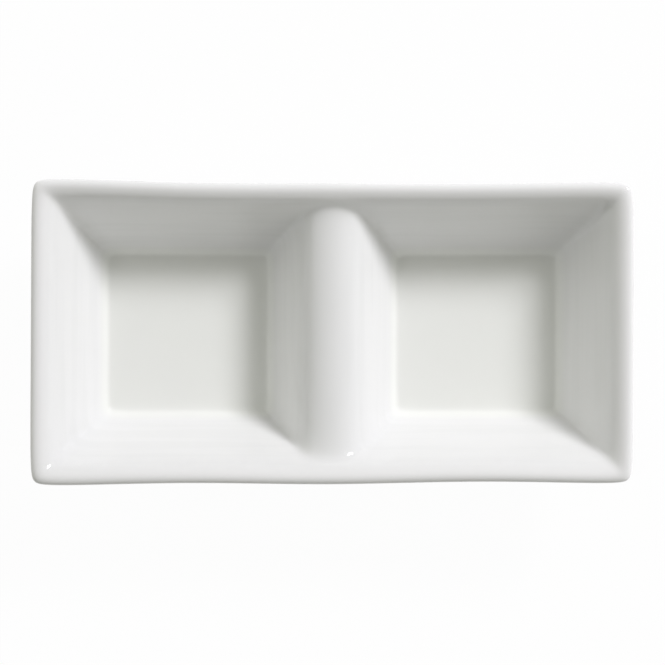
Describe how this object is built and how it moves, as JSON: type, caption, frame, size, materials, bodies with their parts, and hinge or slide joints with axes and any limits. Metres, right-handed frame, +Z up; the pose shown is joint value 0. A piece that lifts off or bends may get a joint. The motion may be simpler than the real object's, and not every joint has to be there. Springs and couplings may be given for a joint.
{
  "type": "double sauce dish",
  "caption": "White porcelain sauce dish with square wells side by side in one rounded rim, a low rounded divider between them, and bare square foot rings under a glossy glaze.",
  "frame": {"origin": "on the table, under the middle of the dish", "axes": "+X along the length, from the left well to the right one; +Y across the width; +Z up"},
  "size_m": [0.14, 0.0706, 0.026],
  "materials": {
    "bare_porcelain": "matt unglazed porcelain",
    "glaze": "glossy white glaze"
  },
  "bodies": {
    "root": {"porcelain_body": "bare_porcelain", "glaze_coat": "glaze", "left_base_glaze": "glaze", "right_base_glaze": "glaze"}
  },
  "joints": []
}
